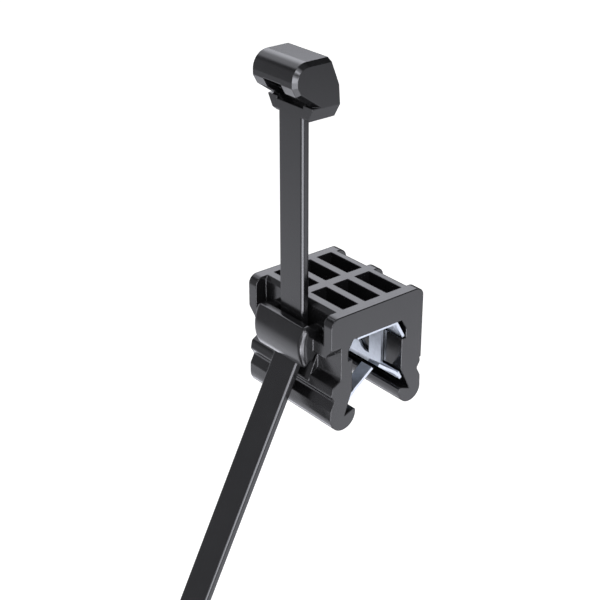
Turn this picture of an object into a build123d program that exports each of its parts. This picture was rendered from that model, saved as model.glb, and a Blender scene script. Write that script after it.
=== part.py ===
# Edge clip cable tie: a moulded clip that snaps on a panel edge, its folded
# steel insert, and the cable tie threaded through the saddle at its side.
# Millimetres. +X across the slot (the panel's thickness), +Y along the clip,
# +Z up. The origin is where the panel's edge stops, in the middle of the slot,
# on the underside of the insert's web.
import os
from math import cos, radians, sin, tan

from build123d import *

os.makedirs("parts", exist_ok=True)

# clip body
clip_length = 16.5        # front flange face to rear flange face
deck_top = 4.12           # top of the deck above the panel seat
wall_x = 6.0              # outer side walls
flange_x = 7.6            # outer edge of flanges and ribs
flange_t = 1.5            # flange thickness along Y
flange_corner_r = 1.2     # rounded top corners of flanges and rib
left_flange_low = -1.3    # lower end of the flanges on the strap's side
left_flange_bevel = 1.1   # slope at that lower end
rib_low = -6.0            # lower end of the flanges on the far side
edge_bevel_x = 0.35       # bevel along the deck's edge beside the strap
edge_bevel_z = 0.6
flange_end_r = 0.6        # rounding of the flanges' sloped ends

slot_top = 0.42           # ceiling of the slot
pocket_half = 4.88        # half width of the pocket for the insert's wings
lip_half = 4.18           # half width between the slot's two long lips
shoulder_z = -1.0         # where the pocket's sloped ceiling meets its wall
ledge_z = -2.3            # ledge that the wings stand on
lip_low = -6.75           # lower end of the lips
ceiling_run = 0.15        # how far inside the lips the ceiling's corners are
near_groove_x = 5.35      # bottom of the V groove above the foot on the strap's side
far_groove_x = 5.75       # and on the far side
groove_z = -10.03
near_tip_x = 3.5          # inner tips of the feet: the slot's mouth
far_tip_x = 3.9
foot_tip_z = -9.33
foot_tip_r = 0.3
foot_out = 1.6            # how far the feet stand out of the walls
foot_low = -12.0          # lowest point of the feet
foot_side_z = -9.9        # where the feet's outer side turns into their round end
foot_end_run = 0.06       # slope of the feet's inner ends
# two ribs along a leg's outer side: how far out of the wall, and above rib_low
wall_drop = 1.3
rib_turns = ((1.3, 0.57), (1.5, -0.6), (0.95, -1.5), (1.58, -2.7))
rib_rounding = (0.5, 0.5, 0.4, 0.4, 0.5)
overlap = 0.4             # how far added shapes reach into the walls
past = 1.0                # how far cuts reach past what they cut
near = 0.01               # how near to a place an edge or corner is picked

cell_x = 2.44             # deck pockets
cell_y = 6.05
rib_x = 1.16
rib_y = 1.5
cell_depth = 2.6
grid_shift_x = 0.31
grid_shift_y = 0.12

# saddle
strap_front = -7.33       # outer face of the strap beside the clip
strap_t = 1.17
strap_w = 4.6
bar_out = 2.17            # outermost point of the saddle bar, out of the strap
bar_top = 1.85
bar_low = -3.72
bar_half = 4.95           # half length of the bar along Y
bar_end_r = 0.8           # rounding of its ends
bar_edge_r = 0.28
bar_shift_y = 0.2         # its middle
crest_out = 1.4           # its top edge, out of the strap
heel_out = 1.42           # its lower edge
lip_out = 0.85            # its lower edge on the strap's side
lip_rise = 0.2
arm_t = 1.6               # thickness of its two arms along Y
arm_top = 1.3
arm_low = -1.7
arm_haunch = 0.45         # the arms' slopes beside the strap
relief_rise = 1.0         # room for the strap where it bends, above the bend
relief_past = 0.1         # and how far below the bar it ends
rail_top = 0.17           # short rails from the arms to the flanges
rail_low = -1.45
ramp_top = -2.71          # ramp that leads the strap outwards
ramp_low = -5.98
ramp_x = 7.5
ramp_lip = 0.3            # upright lower end of the ramp
ramp_half = 3.75

# spring insert
sheet = 0.4
insert_half = clip_length / 2 - 0.2   # half length along Y
leg_half = 4.85           # half length of the deep middle legs
side_gap = 0.08           # between the insert and the slot's lips and pocket
leg_x = lip_half - side_gap           # outer face of the legs
wing_x = pocket_half - side_gap       # outer corner of the wings' ends
web_in = 0.7              # the web's bends, inside the legs
flare_out = 0.5           # the legs' lower ends, out of the legs
flare_drop = 1.4          # and below the slot's lips
flap_tip_x = 0.65         # gripping flaps
flap_tip_z = -4.8
flap_knee_x = 3.55
flap_knee_z = -6.9
flap_w = 1.9
flap_end_run = 0.62       # the flaps' lower ends
flap_end_drop = 0.66
web_drop = 1.02           # how far the sheet falls from the web to the legs
end_gap = 0.1             # flaps and bands end this far inside the web's ends
band_h = 1.0              # band that joins the legs' lower ends
window_w = 2.2            # windows in the legs
window_gap = 0.7
window_r = 1.8
window_top = -1.2
window_lift = 0.2         # the windows end this far above the lips' lower ends

# cable tie
tail_angle = 27.0         # lean of the tail below the saddle
bend_r = 4.0              # inner radius of the bend
bend_z = -2.14            # where the two straight outer faces would meet
tie_length = 200.0        # over head and tail, along the strap
strap_edge_r = 0.4
tip_length = 14.0
tip_w = 2.4
tip_thin = 0.22           # how much thinner the strap is at its tip
tooth_pitch = 1.3
tooth_depth = 0.3
tooth_w = 3.3
tooth_start = 12.0        # along the tail, from the bend
tooth_count = 80
tooth_back = 0.15         # share of the pitch that a tooth's steep side takes

head_w = 8.2
head_low = 27.7           # underside of the head's base
head_h = 7.5
# heights above that underside
break_rise = 1.68         # where the base's sides start to taper
slit_rise = 1.75          # end of the slit between the nose and the base
base_rise = 1.9           # top of the base
passage_rise = 1.51       # the passage's floor at the strap's outer face
# depths below the top
nose_drop = 2.8           # lower end of the nose's upright front
lip_drop = 3.9            # lower lip of the nose
slope_drop = 3.4          # lower end of the slope behind the top
# out of the strap's outer face, and into it
nose_out = 2.62
nose_lip_out = 2.02
slit_in = 0.63
ridge_in = 2.63           # back end of the flat top
slope_in = 3.98
back_in = 4.15
nose_r = 2.1
head_base_w = 6.2         # width of the base's underside
base_chamfer = 0.37       # at its lower front edge
head_chamfer = 0.5        # on the nose's ends
passage_t = 1.4
passage_w = 4.9
passage_angle = 43.0
passage_in = -3.0         # its front end, along it
notch_w = 3.3
pawl_w = 2.9
# section of notch and pawl: along the passage, and above its ceiling
notch_turns = ((-1.5, -0.1), (-1.5, 2.95), (1.2, 2.7), (3.4, 1.3), (3.4, -0.1))
pawl_turns = ((3.7, 0.25), (1.8, 0.0), (0.95, -0.45), (0.8, 0.4), (3.7, 1.1))


def face_through(points, plane=Plane.XZ, y=0.0):
    """A closed face through the points, in the X-Z plane at the given y."""
    with BuildSketch(plane.offset(-y)) as s:
        with BuildLine():
            Polyline(*points, close=True)
        make_face()
    return s.sketch


def mirrored(points):
    return [(-x, z) for x, z in reversed(points)]


def strip(points, t):
    """A bent sheet of thickness t: the outer line and its copy to the right of the way it runs."""
    inner = []
    for i, (x, z) in enumerate(points):
        normals = []
        for a, b in ((i - 1, i), (i, i + 1)):
            if a >= 0 and b < len(points):
                dx, dz = points[b][0] - points[a][0], points[b][1] - points[a][1]
                run = (dx * dx + dz * dz) ** 0.5
                normals.append((dz / run, -dx / run))
        nx = sum(n[0] for n in normals) / len(normals)
        nz = sum(n[1] for n in normals) / len(normals)
        k = t / (nx * nx + nz * nz)
        inner.append((x + nx * k, z + nz * k))
    return list(points) + inner[::-1]


# the clip's body
wall_low = rib_low + wall_drop
left_wall = [(-wall_x, wall_low), (-wall_x, deck_top - edge_bevel_z), (-wall_x + edge_bevel_x, deck_top)]
right_wall = [(wall_x, deck_top), (wall_x, wall_low)]
# outer side of a leg, from the wall down over its two ribs to the round foot
rib_side = [(wall_x, wall_low)] + [(wall_x + out, rib_low + rise) for out, rise in rib_turns]
foot_side = (wall_x + foot_out, foot_side_z)
slot_side = [
    (lip_half, lip_low), (lip_half, ledge_z), (pocket_half, ledge_z),
    (pocket_half, shoulder_z), (lip_half - ceiling_run, slot_top),
]
feet = ((-1, near_tip_x, near_groove_x), (1, far_tip_x, far_groove_x))

with BuildPart() as clip_body:
    # legs and deck: one section along the whole length
    with BuildSketch(Plane.XZ) as section:
        with BuildLine():
            Polyline(*left_wall, *right_wall)
            for way, tip_x, groove_x in feet:
                foot_middle = ((foot_side[0] + tip_x) / 2, foot_low)
                foot_end = (tip_x + foot_end_run, foot_side_z)
                inside = [foot_end, (tip_x, foot_tip_z), (groove_x, groove_z)] + slot_side
                Polyline(*[(way * x, z) for x, z in rib_side + [foot_side]])
                ThreePointArc(*[(way * x, z) for x, z in (foot_side, foot_middle, foot_end)])
                Polyline(*[(way * x, z) for x, z in inside])
            Line((slot_side[-1][0], slot_top), (-slot_side[-1][0], slot_top))
        make_face()
        corners = [(x, z, r) for (x, z), r in zip(rib_side, rib_rounding)]
        corners += [(tip_x, foot_tip_z, foot_tip_r) for way, tip_x, groove_x in feet]
        for x, z, r in corners:
            fillet([v for v in section.vertices() if abs(abs(v.X) - x) < near and abs(v.Y - z) < near], r)
    extrude(amount=clip_length / 2, both=True)

    # flanges at both ends; on the far side they and the middle rib run down to the feet
    inside_wall = wall_x - overlap
    plate = [
        (-flange_x, left_flange_low), (-flange_x, deck_top), (flange_x, deck_top), (flange_x, rib_low),
        (inside_wall, rib_low), (inside_wall, left_flange_low),
    ]
    for side in (-1, 1):
        with BuildSketch(Plane.XZ.offset(-side * (clip_length - flange_t) / 2)):
            with BuildLine():
                Polyline(*plate, close=True)
            whole = make_face()
            fillet([v for v in whole.vertices() if v.Y > deck_top - near], flange_corner_r)
        extrude(amount=flange_t / 2, both=True)
    with BuildSketch(Plane.XZ.offset(-grid_shift_y)):
        with BuildLine():
            Polyline(
                (inside_wall, deck_top), (flange_x, deck_top), (flange_x, rib_low), (inside_wall, rib_low),
                close=True,
            )
        whole = make_face()
        fillet([v for v in whole.vertices() if v.Y > deck_top - near and v.X > wall_x], flange_corner_r)
    extrude(amount=rib_y / 2, both=True)

    # the flanges' sloped lower ends beside the strap
    for side in (-1, 1):
        out, low, b = side * clip_length / 2, left_flange_low, left_flange_bevel
        with BuildSketch(Plane.YZ.offset(-flange_x - past)):
            with BuildLine():
                slope = Polyline(
                    (out + side * past, low + b), (out, low + b),
                    (out - side * b, low), (out - side * b, low - past),
                )
                Polyline(slope @ 1, (out + side * past, low - past), slope @ 0)
            make_face()
        extrude(amount=flange_x + past - wall_x, mode=Mode.SUBTRACT)
    flange_ends = [
        e for e in clip_body.edges()
        if e.center().X < -wall_x and abs(e.tangent_at(0.5).X) > 0.99
        and left_flange_low - near < e.center().Z < left_flange_low + left_flange_bevel + near
        and clip_length / 2 - left_flange_bevel - near < abs(e.center().Y)
    ]
    fillet(flange_ends, flange_end_r)

    # rails from the arms to the flanges, and the ramp that leads the strap outwards
    rail_z = (rail_top + rail_low) / 2
    for side in (-1, 1):
        rail_y0 = side * (bar_half - overlap) + bar_shift_y
        rail_y1 = side * (clip_length / 2 - flange_t + overlap)
        with Locations(((-flange_x - inside_wall) / 2, (rail_y0 + rail_y1) / 2, rail_z)):
            Box(flange_x - inside_wall, abs(rail_y1 - rail_y0), rail_top - rail_low)
    ramp = [
        (-inside_wall, ramp_top + ramp_lip), (-wall_x, ramp_top), (-ramp_x, ramp_low),
        (-ramp_x, ramp_low - ramp_lip), (-inside_wall, ramp_low - ramp_lip),
    ]
    extrude(face_through(ramp), amount=ramp_half, both=True)

    # saddle bar and its two arms: one section with round ends, then room for the strap
    with BuildPart(mode=Mode.PRIVATE) as saddle:
        root, inner_half = -inside_wall, bar_half - arm_t
        crest_x, heel_x, lip_x = strap_front - crest_out, strap_front - heel_out, strap_front - lip_out
        bulge = (strap_front - bar_out, (bar_top + bar_low) / 2)
        with BuildSketch(Plane.XZ) as profile:
            with BuildLine():
                Polyline(
                    (heel_x, bar_low), (lip_x, bar_low + lip_rise), (strap_front, arm_low - arm_haunch),
                    (root, arm_low), (root, arm_top), (strap_front, arm_top),
                    (strap_front - arm_haunch, bar_top), (crest_x, bar_top),
                )
                ThreePointArc((crest_x, bar_top), bulge, (heel_x, bar_low))
            make_face()
            fillet([v for v in profile.vertices() if v.X < lip_x - near], bar_edge_r)
        extrude(amount=bar_half, both=True)
        fillet([
            e for e in saddle.edges()
            if abs(abs(e.center().Y) - bar_half) < near
            and e.center().X < lip_x and e.center().Z < bar_top - near
        ], bar_end_r)
        with BuildSketch(Plane.XY.offset(bar_low - past)):
            with Locations(((strap_front + root + overlap) / 2, 0)):
                Rectangle(root + overlap - strap_front, 2 * inner_half)
        extrude(amount=bar_top - bar_low + 2 * past, mode=Mode.SUBTRACT)
        relief = [
            (strap_front, bend_z + relief_rise), (strap_front - relief_rise, bar_low - relief_past),
            (root, bar_low - relief_past), (root, bend_z + relief_rise),
        ]
        extrude(face_through(relief), amount=inner_half, both=True, mode=Mode.SUBTRACT)
    with Locations((0, bar_shift_y, 0)):
        add(saddle.part)

    # slot through the flanges
    hollow = [(lip_half, lip_low + overlap)] + slot_side[1:]
    hollow_face = face_through(hollow + mirrored(hollow))
    extrude(hollow_face, amount=clip_length / 2 + past, both=True, mode=Mode.SUBTRACT)

    # six pockets in the deck
    with BuildSketch(Plane.XY.offset(deck_top)):
        with Locations((grid_shift_x, grid_shift_y)):
            with GridLocations(cell_x + rib_x, cell_y + rib_y, 3, 2):
                Rectangle(cell_x, cell_y)
    extrude(amount=-cell_depth, mode=Mode.SUBTRACT)

clip_body.part.label = "clip_body"
export_step(clip_body.part, "parts/clip_body.step")

# the folded insert
bend = lip_low - overlap
web_x = leg_x - web_in
flare_x, flare_z = leg_x + flare_out, lip_low - flare_drop
window_low = lip_low + window_lift
flare_slope = (flare_x - leg_x) / (bend - flare_z)


def on_flare(z):
    return leg_x + (bend - z) * flare_slope


half_path = [(web_x, slot_top), (leg_x, slot_top - web_drop), (leg_x, bend), (flare_x, flare_z)]
# a wing's inner corner stands on the ledge, so its outer one ends a little higher
wing_rise = sheet * (wing_x - web_x) / ((wing_x - web_x) ** 2 + (slot_top - ledge_z) ** 2) ** 0.5
wing_path = [(web_x, slot_top), (wing_x, ledge_z + wing_rise)]
band_path = [(on_flare(flare_z + band_h), flare_z + band_h), (flare_x, flare_z)]
flap_path = [
    (flap_tip_x, flap_tip_z), (flap_knee_x, flap_knee_z),
    (flap_knee_x + flap_end_run, flap_knee_z - flap_end_drop),
]

with BuildPart() as spring_insert:
    # web and middle legs
    extrude(face_through(strip(mirrored(half_path) + half_path, sheet)), amount=leg_half, both=True)
    # web over the whole length
    with Locations((0, 0, slot_top - sheet / 2)):
        Box(2 * (web_x - sheet / 2), 2 * insert_half, sheet)
    for way in (1, -1):
        # one wing at each end, on opposite sides, that stands on its ledge
        wing_w = insert_half - leg_half + overlap
        wing = [(way * x, z) for x, z in strip([(web_x - 2 * sheet, slot_top)] + wing_path, sheet)]
        extrude(face_through(wing, y=-way * (insert_half - wing_w / 2)), amount=wing_w / 2, both=True)
        # band along the leg's lower end, and two gripping flaps
        band = [(way * x, z) for x, z in strip(band_path, sheet)]
        extrude(face_through(band), amount=insert_half - end_gap, both=True)
        flap = [(way * x, z) for x, z in strip(flap_path, sheet)]
        for side in (-1, 1):
            flap_y = side * (insert_half - end_gap - flap_w / 2)
            extrude(face_through(flap, y=flap_y), amount=flap_w / 2, both=True)
    # windows in the legs
    for side in (-1, 1):
        y0, y1 = side * window_gap / 2, side * (window_gap / 2 + window_w)
        with BuildSketch(Plane.YZ):
            with BuildLine():
                Polyline((y0, window_top), (y1, window_top), (y1, window_low), (y0, window_low), close=True)
            pane = make_face()
            fillet(pane.vertices().sort_by(lambda v: abs(v.X) + v.Y)[0], window_r)
        extrude(amount=leg_x + past, both=True, mode=Mode.SUBTRACT)

spring_insert.part.label = "spring_insert"
export_step(spring_insert.part, "parts/spring_insert.step")

# cable tie
lean = radians(tail_angle)
along = (-sin(lean), -cos(lean))
centre = (strap_front - bend_r, bend_z + bend_r * tan(lean / 2))


def on_bend(r, a):
    return centre[0] + r * cos(a), centre[1] - r * sin(a)


back_r = bend_r + strap_t
front_end, back_end = on_bend(bend_r, lean), on_bend(back_r, lean)
head_top = head_low + head_h
upper_run = head_top - centre[1]
bend_run = (bend_r + strap_t / 2) * lean
tail_run = tie_length - upper_run - bend_run


def on_tail(s, depth):
    """A point of the tail, s along it and depth under its outer face."""
    return (
        front_end[0] + along[0] * s + depth * cos(lean),
        front_end[1] + along[1] * s - depth * sin(lean),
    )


tail_plane = Plane(
    origin=(on_tail(0, strap_t)[0], 0, on_tail(0, strap_t)[1]),
    x_dir=(along[0], 0, along[1]),
    z_dir=(-cos(lean), 0, sin(lean)),
)

with BuildPart() as cable_tie:
    # strap: straight, bend and tail
    strap_back, strap_top = strap_front + strap_t, head_low + 2 * overlap
    with BuildSketch(Plane.XZ):
        with BuildLine():
            Line((strap_front, strap_top), (strap_front, centre[1]))
            ThreePointArc((strap_front, centre[1]), on_bend(bend_r, lean / 2), front_end)
            Polyline(front_end, on_tail(tail_run, tip_thin), on_tail(tail_run, strap_t), back_end)
            ThreePointArc(back_end, on_bend(back_r, lean / 2), (strap_back, centre[1]))
            Polyline((strap_back, centre[1]), (strap_back, strap_top), (strap_front, strap_top))
        make_face()
    extrude(amount=strap_w / 2, both=True)
    # rounded long edges
    long_edges = [
        e for e in cable_tie.edges()
        if abs(abs(e.center().Y) - strap_w / 2) < near and e.length > strap_t + near
    ]
    fillet(long_edges, strap_edge_r)
    # narrow tip
    with BuildSketch(tail_plane):
        for side in (-1, 1):
            with BuildLine():
                Polyline(
                    (tail_run - tip_length, side * strap_w / 2), (tail_run, side * tip_w / 2),
                    (tail_run + past, side * tip_w / 2), (tail_run + past, side * strap_w),
                    (tail_run - tip_length, side * strap_w), close=True,
                )
            make_face()
    extrude(amount=2 * strap_t, both=True, mode=Mode.SUBTRACT)
    # teeth on the tail's back, between two smooth margins
    teeth = [on_tail(tooth_start, strap_t + tooth_depth)]
    for i in range(tooth_count):
        s = tooth_start + i * tooth_pitch
        teeth += [on_tail(s, strap_t), on_tail(s + tooth_back * tooth_pitch, strap_t - tooth_depth)]
    s = tooth_start + tooth_count * tooth_pitch
    teeth += [on_tail(s, strap_t), on_tail(s, strap_t + tooth_depth)]
    extrude(face_through(teeth), amount=tooth_w / 2, both=True, mode=Mode.SUBTRACT)

    # head: nose block over the base that the strap grows out of
    head_break, head_base_top = head_low + break_rise, head_low + base_rise
    head_back_x = strap_front + back_in
    nose_x, slit_x = strap_front - nose_out, strap_front + slit_in
    with BuildPart(mode=Mode.PRIVATE) as block:
        with BuildSketch(Plane.XZ):
            with BuildLine():
                nose_side = (nose_x, head_top - nose_r)
                nose_end = (nose_x + nose_r, head_top)
                Polyline(
                    nose_end, (strap_front + ridge_in, head_top),
                    (strap_front + slope_in, head_top - slope_drop), (head_back_x, head_break),
                    (slit_x + overlap, head_break), (slit_x, head_low + slit_rise),
                    (strap_front - nose_lip_out, head_top - lip_drop), (nose_x, head_top - nose_drop),
                    nose_side,
                )
                RadiusArc(nose_side, nose_end, nose_r)
            make_face()
        extrude(amount=head_w / 2, both=True)
        ends = [e for e in block.edges() if abs(abs(e.center().Y) - head_w / 2) < near]
        nose_ends = [e for e in ends if e.center().X < slit_x and e.center().Z < head_top - near]
        chamfer(nose_ends, head_chamfer)
    add(block.part)
    with BuildPart(mode=Mode.PRIVATE) as base:
        with BuildSketch(Plane.YZ.offset(strap_front)):
            with BuildLine():
                Polyline(
                    (-head_w / 2, head_base_top), (-head_w / 2, head_break), (-head_base_w / 2, head_low),
                    (head_base_w / 2, head_low), (head_w / 2, head_break), (head_w / 2, head_base_top),
                    close=True,
                )
            make_face()
        extrude(amount=head_back_x - strap_front)
        low_edges = [e for e in base.edges() if abs(e.center().Z - head_low) < near]
        chamfer([e for e in low_edges if e.center().X < strap_front + near], base_chamfer)
    add(base.part)

    # passage for the tail, the notch in front of it and the pawl that hangs into it
    turn = radians(passage_angle)
    mouth_z = head_low + passage_rise + passage_t * cos(turn)
    mouth = (strap_front - passage_t * sin(turn), mouth_z)

    def at(s, h):
        return mouth[0] + s * cos(turn) - h * sin(turn), mouth[1] + s * sin(turn) + h * cos(turn)

    passage_end = (back_in + passage_t * sin(turn)) / cos(turn) + past      # behind the head's back
    passage = [(passage_in, 0), (passage_end, 0), (passage_end, -passage_t), (passage_in, -passage_t)]
    for turns, width, mode in (
        (passage, passage_w, Mode.SUBTRACT),
        (notch_turns, notch_w, Mode.SUBTRACT),
        (pawl_turns, pawl_w, Mode.ADD),
    ):
        extrude(face_through([at(s, h) for s, h in turns]), amount=width / 2, both=True, mode=mode)

cable_tie.part.label = "cable_tie"
export_step(cable_tie.part, "parts/cable_tie.step")
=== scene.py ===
# Edge clip cable tie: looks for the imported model. Metres, in the CAD's frame:
# origin where the panel's edge stops, +X across the slot, +Y along the clip, +Z up.
from math import cos, pi, radians, sin

import bpy
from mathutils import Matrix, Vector


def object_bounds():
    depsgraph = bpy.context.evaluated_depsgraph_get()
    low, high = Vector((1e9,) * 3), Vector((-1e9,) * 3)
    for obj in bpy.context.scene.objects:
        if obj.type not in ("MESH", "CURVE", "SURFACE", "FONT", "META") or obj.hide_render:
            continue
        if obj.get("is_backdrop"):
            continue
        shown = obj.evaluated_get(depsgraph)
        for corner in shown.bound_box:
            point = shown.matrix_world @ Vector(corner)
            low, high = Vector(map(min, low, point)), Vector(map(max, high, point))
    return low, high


MM = 0.001
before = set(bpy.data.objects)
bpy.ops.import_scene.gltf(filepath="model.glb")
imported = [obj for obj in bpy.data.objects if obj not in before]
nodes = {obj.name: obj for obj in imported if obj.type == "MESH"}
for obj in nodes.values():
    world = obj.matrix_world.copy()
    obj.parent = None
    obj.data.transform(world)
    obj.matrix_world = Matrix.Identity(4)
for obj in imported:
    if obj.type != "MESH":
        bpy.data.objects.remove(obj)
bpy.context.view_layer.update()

# camera and floor, in millimetres
camera_place = Vector((-103.25, -120.13, 81.36))
camera_turn = (63.19, 0.0, -39.04)      # degrees
sensor_width = 36.0
focal_length = 82.99
view_near, view_far = 5.0, 20000.0
floor_gap = 2.0                         # floor below the tail's end
floor_size = 6000.0
floor_grey = 0.9
floor_rough = 0.9
floor_lift = 0.7                        # takes the pale floor to white where the camera sees it

# what gloss reflects: a dark room with soft lamps. Each lamp: the way to it, the angles in
# degrees inside which it is full and outside which it is dark, and its radiance. Left, right
# and behind are as the camera sees them, and the other notes say what shows the lamp
room_dim = 0.045
lamps = (
    ((0.50, 0.62, 0.60), 9.0, 26.0, 2.6),        # behind, above: the tops
    ((-0.05, 0.70, 0.71), 6.0, 18.0, 1.4),       # left of that one: the saddle's crest
    ((-0.46, 0.62, -0.64), 6.0, 28.0, 1.4),      # left, below: the sides that face -X
    ((-0.66, 0.70, 0.10), 14.0, 32.0, 0.42),     # left: the nose and the tail
    ((0.47, -0.64, -0.60), 6.0, 27.0, 1.85),     # right, below: the sides that face -Y
    ((-0.69, -0.56, -0.45), 14.0, 27.0, 3.5),    # in front, a tall strip from top to bottom:
    ((-0.66, -0.74, 0.00), 12.0, 25.0, 3.5),     # the head's and the saddle's end edges
    ((-0.69, -0.56, -0.45), 2.0, 8.0, 5.0),      # with a brighter core
    ((-0.73, -0.68, 0.00), 3.0, 12.0, 6.0),
    ((-0.38, -0.70, 0.60), 8.0, 21.0, 3.0),      # and, higher up,
    ((-0.43, -0.71, 0.55), 2.0, 8.0, 8.0),       # the flanges' corners
    ((-0.33, -0.32, -0.88), 8.0, 18.0, 3.5),     # the strip's lower end
    ((0.07, 0.69, -0.72), 3.0, 10.0, 2.8),       # behind, below: the head's lower lip
    ((-0.82, -0.35, -0.45), 4.0, 16.0, 7.0),     # small lamps beside the strip:
    ((-0.35, -0.82, -0.45), 4.0, 16.0, 7.0),     # the upright edges
    ((-0.88, -0.37, 0.28), 4.0, 16.0, 7.0),      # and the tail's
    ((-0.39, -0.92, 0.04), 4.0, 16.0, 7.0),
    ((0.40, 0.00, -0.92), 16.0, 34.0, 0.7),      # from below: undersides
)
# dim, broad lamps all round, below and above the level, and one overhead, so that the other
# sides show their form too: height of the way against its run, and radiance
side_lamps = ((-0.36, 0.7), (0.36, 0.45))
side_full, side_dark = 12.0, 34.0
overhead = ((0.0, 0.0, 1.0), 14.0, 40.0, 0.7)
lamp_colour = (0.955, 0.965, 1.04)
world_light = 0.4                       # what falls on the object from all round
white = (1, 1, 1, 1)

# the one lamp that lights the object, in millimetres
key_place = (-150.0, -450.0, 400.0)
key_size = 350.0
key_brightness = 4.0                    # watts, over pi and its area in square metres

# finish: lengths in millimetres, the textures' scales per metre
clip_edge_r = 0.22                      # the moulds' rounding on every edge
tie_edge_r = 0.08
edge_samples = 8
nylon_ior = 1.53
nylon_colour = (0.010, 0.010, 0.011)
tie_colour = (0.009, 0.009, 0.010)
nylon_tints = (0.8, 1.25)               # the clouds' darkest and lightest, against the colour
clip_gloss = (0.14, 0.23)               # roughness, least and most
tie_gloss = (0.13, 0.22)
nylon_clouds = (260.0, 4.0)             # scale and detail of the noise
grain = (9000.0, 2.0)
grain_depth = 0.02
clip_grain, tie_grain = 0.07, 0.04      # how much of its depth shows

sheet_edge_r = 0.05
sheet_metallic = 0.88
sheet_colour = (0.61, 0.65, 0.71)
sheet_tints = (0.86, 1.12)
sheet_gloss = (0.28, 0.40)
sheet_clouds = (900.0, 5.0)
mill_lines = (9000.0, 300.0, 9000.0)    # fine across the slot and upwards, long along the clip
mill_noise = (1.0, 2.0)                 # after that stretch
mill_depth, mill_strength = 0.01, 0.15

cloud_rough = 0.6
cloud_stops = (0.3, 0.7)                # where the clouds are darkest and lightest

weld_reach = 0.002                      # corners of the sheet's mesh this near are one
flat_angle = 0.003                      # radians: faces that turn less are one
fold_angle = radians(28)                # edges that turn less aren't rounded
fold_segments = 2


class Nodes:
    """Short hand for building a node tree."""

    def __init__(self, tree):
        self.tree = tree

    def add(self, kind, **values):
        node = self.tree.nodes.new(kind)
        for name, value in values.items():
            if hasattr(node, name):
                setattr(node, name, value)
            else:
                node.inputs[name.replace("_", " ")].default_value = value
        return node

    def link(self, source, output, target, socket):
        self.tree.links.new(source.outputs[output], target.inputs[socket])

    def noise(self, place, output, size, **values):
        """A noise of a given scale and detail, at the place that another node gives."""
        scale, detail = size
        node = self.add("ShaderNodeTexNoise", Scale=scale, Detail=detail, **values)
        self.link(place, output, node, "Vector")
        return node


def new_material(name):
    material = bpy.data.materials.new(name)
    material.use_nodes = True
    tree = material.node_tree
    return material, Nodes(tree), tree.nodes["Principled BSDF"]


def clouds(n, shader, place, size, colours, gloss):
    """Slow changes of colour and of gloss, together, between two values of each."""
    cloud = n.noise(place, "Object", size, Roughness=cloud_rough)
    greys = [(value, value, value) for value in gloss]
    for socket, ends in (("Base Color", colours), ("Roughness", greys)):
        ramp = n.add("ShaderNodeValToRGB")
        for stop, position, end in zip(ramp.color_ramp.elements, cloud_stops, ends):
            stop.position = position
            stop.color = (*end, 1)
        n.link(cloud, "Fac", ramp, "Fac")
        n.link(ramp, "Color", shader, socket)


def relief(n, shader, height, strength, depth):
    """A fine bump on the surface, depth in millimetres."""
    bump = n.add("ShaderNodeBump", Strength=strength, Distance=depth * MM)
    n.link(height, "Fac", bump, "Height")
    n.link(bump, "Normal", shader, "Normal")
    return bump


def shades(colour, factors):
    """The colour made darker and lighter, no part of it over 1."""
    return [tuple(min(1.0, factor * part) for part in colour) for factor in factors]


def moulded_nylon(name, colour, gloss, grain_strength, edge_r):
    """Black nylon: rounded edges, a fine moulded grain, slow changes of tint and gloss."""
    material, n, shader = new_material(name)
    shader.inputs["IOR"].default_value = nylon_ior
    place = n.add("ShaderNodeTexCoord")
    clouds(n, shader, place, nylon_clouds, shades(colour, nylon_tints), gloss)
    fine = n.noise(place, "Object", grain)
    bump = relief(n, shader, fine, grain_strength, grain_depth)
    edges = n.add("ShaderNodeBevel", samples=edge_samples, Radius=edge_r * MM)
    n.link(edges, "Normal", bump, "Normal")
    return material


def zinc_sheet():
    """Bright zinc-plated spring steel, with the mill's fine lines and soft clouds."""
    material, n, shader = new_material("zinc_sheet")
    shader.inputs["Metallic"].default_value = sheet_metallic
    place = n.add("ShaderNodeTexCoord")
    clouds(n, shader, place, sheet_clouds, shades(sheet_colour, sheet_tints), sheet_gloss)
    stretch = n.add("ShaderNodeMapping", Scale=mill_lines)
    n.link(place, "Object", stretch, "Vector")
    lines = n.noise(stretch, "Vector", mill_noise)
    relief(n, shader, lines, mill_strength, mill_depth)
    return material


def round_folds(obj):
    """The small rounding that the press leaves on the edges of the folded sheet."""
    weld = obj.modifiers.new("weld", "WELD")
    weld.merge_threshold = weld_reach * MM
    flat = obj.modifiers.new("flat faces", "DECIMATE")
    flat.decimate_type = "DISSOLVE"
    flat.angle_limit = flat_angle
    bevel = obj.modifiers.new("edge rounding", "BEVEL")
    bevel.width = sheet_edge_r * MM
    bevel.segments = fold_segments
    bevel.limit_method = "ANGLE"
    bevel.angle_limit = fold_angle
    bevel.harden_normals = True


def dress(obj, material):
    obj.data.materials.clear()
    obj.data.materials.append(material)


def seen_directly(n, path):
    """1 for camera, glossy and transmission rays, 0 for the light that falls on the object."""
    both = n.add("ShaderNodeMath", operation="MAXIMUM")
    n.link(path, "Is Camera Ray", both, 0)
    n.link(path, "Is Glossy Ray", both, 1)
    seen = n.add("ShaderNodeMath", operation="MAXIMUM")
    n.link(both, "Value", seen, 0)
    n.link(path, "Is Transmission Ray", seen, 1)
    return seen


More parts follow.
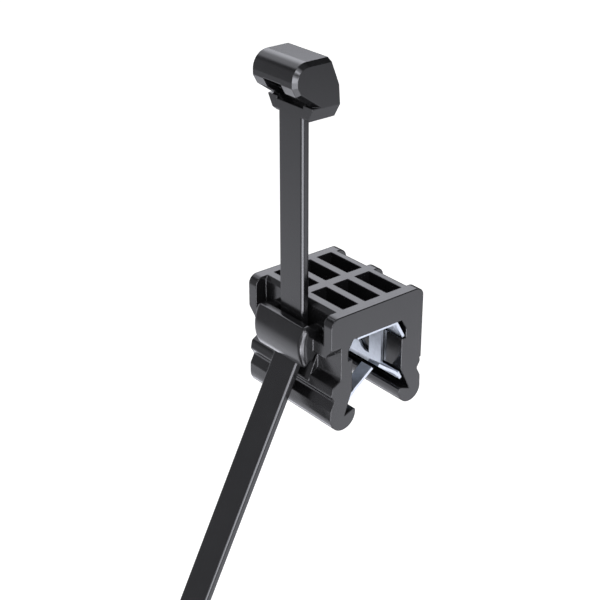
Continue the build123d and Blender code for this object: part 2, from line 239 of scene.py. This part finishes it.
def soft_lamp(n, place, way, full, dark, radiance):
    """Its radiance inside a cone round a direction, fading smoothly to nothing."""
    toward = n.add("ShaderNodeVectorMath", operation="DOT_PRODUCT")
    n.link(place, "Generated", toward, 0)
    toward.inputs[1].default_value = Vector(way).normalized()
    fade = n.add("ShaderNodeMapRange", interpolation_type="SMOOTHSTEP")
    fade.inputs["From Min"].default_value = cos(radians(dark))
    fade.inputs["From Max"].default_value = cos(radians(full))
    fade.inputs["To Max"].default_value = radiance
    n.link(toward, "Value", fade, "Value")
    return fade


def all_lamps():
    """Every lamp that gloss shows: the named ones, the dim ones on four sides, the one overhead."""
    yield from lamps
    for quarter in range(4):
        turn = quarter * pi / 2
        for rise, radiance in side_lamps:
            yield (cos(turn), sin(turn), rise), side_full, side_dark, radiance
    yield overhead


def plain_floor(low_z):
    """A pale floor under the tail that fades to the white background and keeps the shadow."""
    half = floor_size / 2 * MM
    mesh = bpy.data.meshes.new("floor")
    corners = [(x * half, y * half, 0) for x, y in ((-1, -1), (1, -1), (1, 1), (-1, 1))]
    mesh.from_pydata(corners, [], [(0, 1, 2, 3)])
    floor = bpy.data.objects.new("floor", mesh)
    floor.location.z = low_z
    bpy.context.scene.collection.objects.link(floor)
    material, n, shader = new_material("floor_paper")
    shader.inputs["Base Color"].default_value = (floor_grey, floor_grey, floor_grey, 1)
    shader.inputs["Roughness"].default_value = floor_rough
    shader.inputs["Emission Color"].default_value = white
    path = n.add("ShaderNodeLightPath")
    lift = n.add("ShaderNodeMath", operation="MULTIPLY")
    n.link(path, "Is Camera Ray", lift, 0)
    lift.inputs[1].default_value = floor_lift
    n.link(lift, "Value", shader, "Emission Strength")
    mesh.materials.append(material)
    floor.visible_glossy = False        # gloss sees the room's own light below
    floor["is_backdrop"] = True


def studio_world():
    """White behind the object. What gloss reflects is a dark room with soft lamps."""
    world = bpy.data.worlds.new("studio")
    bpy.context.scene.world = world
    world.use_nodes = True
    n = Nodes(world.node_tree)
    back = world.node_tree.nodes["Background"]
    path = n.add("ShaderNodeLightPath")
    colour = n.add("ShaderNodeMix", data_type="RGBA")
    n.link(path, "Is Glossy Ray", colour, "Factor")
    colour.inputs["A"].default_value = white
    colour.inputs["B"].default_value = (*lamp_colour, 1)
    n.link(colour, "Result", back, "Color")
    place = n.add("ShaderNodeTexCoord")
    room = n.add("ShaderNodeValue")
    room.outputs[0].default_value = room_dim
    for lamp in all_lamps():
        brighter = n.add("ShaderNodeMath", operation="ADD")
        n.link(room, 0, brighter, 0)
        n.link(soft_lamp(n, place, *lamp), 0, brighter, 1)
        room = brighter
    shown = n.add("ShaderNodeMix", data_type="FLOAT")
    n.link(path, "Is Glossy Ray", shown, "Factor")
    shown.inputs["A"].default_value = 1.0
    n.link(room, 0, shown, "B")
    strength = n.add("ShaderNodeMix", data_type="FLOAT")
    n.link(seen_directly(n, path), "Value", strength, "Factor")
    strength.inputs["A"].default_value = world_light
    n.link(shown, "Result", strength, "B")
    n.link(strength, "Result", back, "Strength")


def key_light():
    """A square lamp, turned to the clip, that neither the camera nor gloss sees."""
    light = bpy.data.lights.new("key_light", "AREA")
    light.size = key_size * MM
    light.energy = key_brightness * pi * light.size ** 2
    obj = bpy.data.objects.new("key_light", light)
    obj.location = Vector(key_place) * MM
    obj.rotation_euler = (-obj.location).to_track_quat("-Z", "Y").to_euler()
    obj.visible_camera = False
    obj.visible_glossy = False
    bpy.context.scene.collection.objects.link(obj)


def main_camera():
    data = bpy.data.cameras.new("camera")
    data.sensor_width = sensor_width
    data.lens = focal_length
    data.clip_start = view_near * MM
    data.clip_end = view_far * MM
    camera = bpy.data.objects.new("camera", data)
    camera.location = camera_place * MM
    camera.rotation_euler = [radians(a) for a in camera_turn]
    bpy.context.scene.collection.objects.link(camera)
    bpy.context.scene.camera = camera


dress(nodes["clip_body"],
      moulded_nylon("clip_nylon", nylon_colour, clip_gloss, clip_grain, clip_edge_r))
dress(nodes["cable_tie"],
      moulded_nylon("tie_nylon", tie_colour, tie_gloss, tie_grain, tie_edge_r))
dress(nodes["spring_insert"], zinc_sheet())
round_folds(nodes["spring_insert"])

bpy.context.scene.view_settings.view_transform = "Standard"
main_camera()
studio_world()
plain_floor(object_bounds()[0].z - floor_gap * MM)
key_light()
